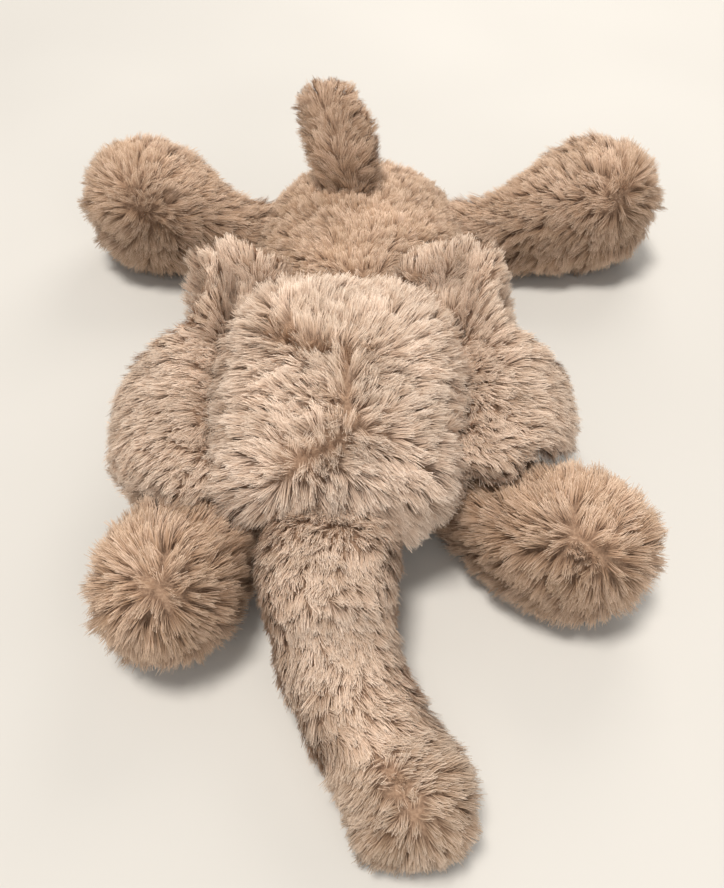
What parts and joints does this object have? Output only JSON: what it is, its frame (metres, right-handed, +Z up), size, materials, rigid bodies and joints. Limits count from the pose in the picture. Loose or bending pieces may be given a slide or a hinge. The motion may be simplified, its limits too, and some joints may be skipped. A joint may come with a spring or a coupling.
{
  "type": "stuffed elephant",
  "caption": "Floppy long-pile plush elephant lying on its belly, with a long trunk, draped ears, splayed round feet and an upright tail.",
  "frame": {"origin": "middle of the footprint's bounding box, on the surface that the toy lies on", "axes": "+Z up, the trunk points to -Y, the toy's own left side is +X"},
  "size_m": [0.3435, 0.4141, 0.1153],
  "materials": {
    "head_pile": "long silky knitted pile, cream beige with tan roots",
    "body_pile": "long silky knitted pile, warm taupe with dark brown roots",
    "fibre_filling": "loose white polyester fibre",
    "bean_pouch_cloth": "thin woven cloth",
    "eye_plastic": "polished black",
    "washer_plastic": "moulded white"
  },
  "bodies": {
    "torso": {"back_panel_left": "body_pile", "back_panel_right": "body_pile", "belly_panel": "body_pile", "body_filling": "fibre_filling", "body_bean_pouch": "bean_pouch_cloth"},
    "head": {"crown_panel": "head_pile", "face_panel_left": "head_pile", "face_panel_right": "head_pile", "chin_panel": "head_pile", "head_filling": "fibre_filling", "eye_left": "eye_plastic", "eye_right": "eye_plastic", "eye_washer_left": "washer_plastic", "eye_washer_right": "washer_plastic"},
    "trunk_base": {"trunk_top_panel": "head_pile", "trunk_under_panel": "head_pile", "trunk_filling": "fibre_filling"},
    "trunk_tip": {"trunk_tip_top_panel": "head_pile", "trunk_tip_under_panel": "head_pile", "trunk_tip_filling": "fibre_filling"},
    "ear_left": {"ear_left_outer_panel": "head_pile", "ear_left_inner_panel": "head_pile", "ear_left_wadding": "fibre_filling"},
    "ear_right": {"ear_right_outer_panel": "head_pile", "ear_right_inner_panel": "head_pile", "ear_right_wadding": "fibre_filling"},
    "front_leg_left": {"front_leg_left_upper_panel": "body_pile", "front_leg_left_under_panel": "body_pile", "front_leg_left_filling": "fibre_filling", "front_leg_left_bean_pouch": "bean_pouch_cloth"},
    "front_leg_right": {"front_leg_right_upper_panel": "body_pile", "front_leg_right_under_panel": "body_pile", "front_leg_right_filling": "fibre_filling", "front_leg_right_bean_pouch": "bean_pouch_cloth"},
    "rear_leg_left": {"rear_leg_left_upper_panel": "body_pile", "rear_leg_left_under_panel": "body_pile", "rear_leg_left_filling": "fibre_filling", "rear_leg_left_bean_pouch": "bean_pouch_cloth"},
    "rear_leg_right": {"rear_leg_right_upper_panel": "body_pile", "rear_leg_right_under_panel": "body_pile", "rear_leg_right_filling": "fibre_filling", "rear_leg_right_bean_pouch": "bean_pouch_cloth"},
    "tail": {"tail_front_panel": "body_pile", "tail_back_panel": "body_pile"}
  },
  "joints": [
    {"name": "head_nod", "type": "hinge", "parent": "torso", "child": "head", "pos_m": [-0.014, 0.031, 0.045], "axis": [-1, 0, 0], "range_deg": [0, 30]},
    {"name": "trunk_lift", "type": "hinge", "parent": "head", "child": "trunk_base", "pos_m": [-0.0195, -0.103, 0.045], "axis": [-1, 0, 0], "range_deg": [0, 55]},
    {"name": "trunk_curl", "type": "hinge", "parent": "trunk_base", "child": "trunk_tip", "pos_m": [-0.0105, -0.1505, 0.027], "axis": [0, 0, 1], "range_deg": [-40, 40]},
    {"name": "ear_left_flap", "type": "hinge", "parent": "head", "child": "ear_left", "pos_m": [0.0455, -0.003, 0.07], "axis": [0, -0.9507, -0.3102], "range_deg": [0, 60]},
    {"name": "ear_right_flap", "type": "hinge", "parent": "head", "child": "ear_right", "pos_m": [-0.0735, -0.01, 0.07], "axis": [0, 0.9651, 0.262], "range_deg": [0, 60]},
    {"name": "front_leg_left_swing", "type": "hinge", "parent": "torso", "child": "front_leg_left", "pos_m": [0.0225, -0.0345, 0.018], "axis": [0, 0, 1], "range_deg": [-30, 3]},
    {"name": "front_leg_right_swing", "type": "hinge", "parent": "torso", "child": "front_leg_right", "pos_m": [-0.0505, -0.036, 0.019], "axis": [0, 0, 1], "range_deg": [-13, 3]},
    {"name": "rear_leg_left_swing", "type": "hinge", "parent": "torso", "child": "rear_leg_left", "pos_m": [0.078, 0.152, 0.027], "axis": [0, 0, 1], "range_deg": [-30, 50]},
    {"name": "rear_leg_right_swing", "type": "hinge", "parent": "torso", "child": "rear_leg_right", "pos_m": [-0.0905, 0.1515, 0.028], "axis": [0, 0, 1], "range_deg": [-50, 30]},
    {"name": "tail_swing", "type": "hinge", "parent": "torso", "child": "tail", "pos_m": [-0.015, 0.1455, 0.079], "axis": [1, 0, 0], "range_deg": [-55, 35]}
  ]
}
